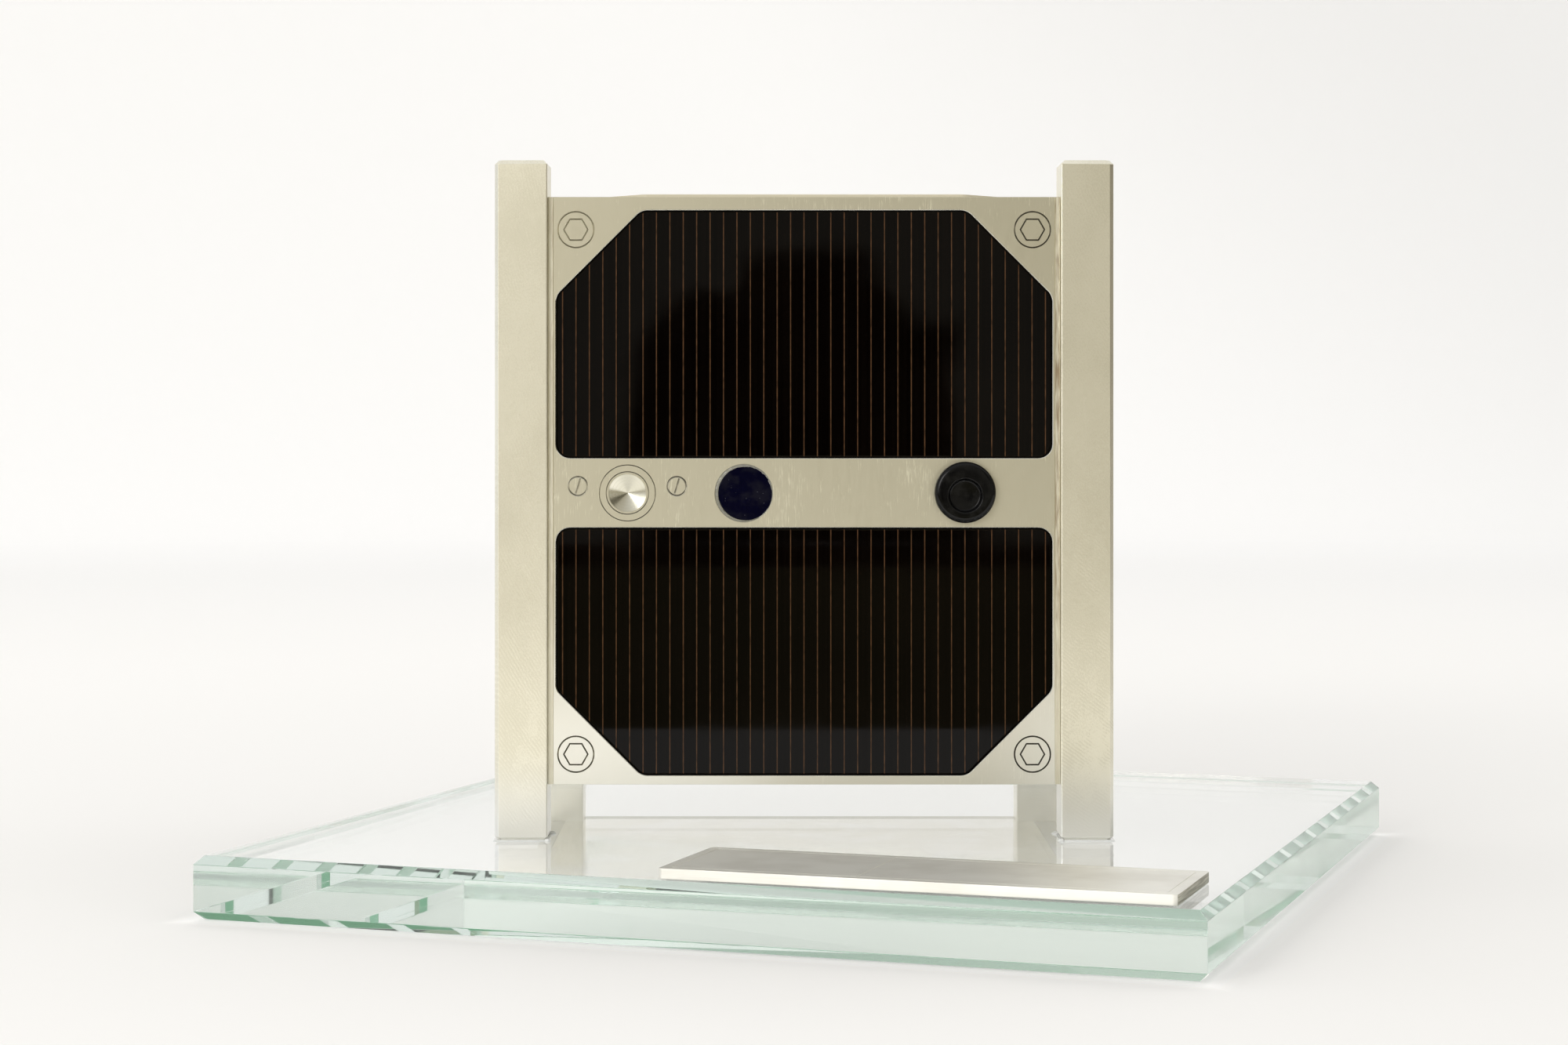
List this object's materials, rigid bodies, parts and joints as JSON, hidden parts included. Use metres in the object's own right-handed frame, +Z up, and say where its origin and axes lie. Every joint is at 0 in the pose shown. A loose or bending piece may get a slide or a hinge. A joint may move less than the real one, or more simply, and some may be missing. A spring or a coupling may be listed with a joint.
{
  "type": "cube satellite desk model on a glass plinth",
  "caption": "Desk model of a small cube satellite: framed aluminium cube with dark solar cells on its sides and top, glued by its feet to a bevelled glass plinth with a blank plaque.",
  "frame": {"origin": "centre of the glass plinth's underside", "axes": "+Z up; -Y is the satellite's front, whose faces are square to X and Y; the plinth is turned 19.5 degrees clockwise under it, seen from above"},
  "size_m": [0.2042, 0.2042, 0.12],
  "materials": {
    "glass": "clear polished float glass, faintly green",
    "tape": "thin dark adhesive tape",
    "plaque_metal": "satin, nickel-coloured",
    "rail_metal": "fly-cut, faint diagonal tool marks",
    "panel_metal": "brushed upright",
    "cell": "glossy black with fine brown upright lines",
    "window_glass": "polished dark navy disc",
    "cap_rubber": "black, semi-gloss",
    "glue": "clear set adhesive"
  },
  "bodies": {
    "root": {"glass_plinth": "glass", "plaque_tape": "tape", "plaque": "plaque_metal", "rail_front_left": "rail_metal", "rail_front_right": "rail_metal", "rail_back_right": "rail_metal", "rail_back_left": "rail_metal", "panel_front": "panel_metal", "cell_front_upper": "cell", "cell_front_lower": "cell", "panel_right": "panel_metal", "cell_right_upper": "cell", "cell_right_lower": "cell", "panel_back": "panel_metal", "cell_back_upper": "cell", "cell_back_lower": "cell", "panel_left": "panel_metal", "cell_left_upper": "cell", "cell_left_lower": "cell", "top_plate": "panel_metal", "cell_top_front": "cell", "cell_top_back": "cell", "bottom_plate": "panel_metal", "window": "window_glass", "cap": "cap_rubber", "glue_beads": "glue"}
  },
  "joints": []
}
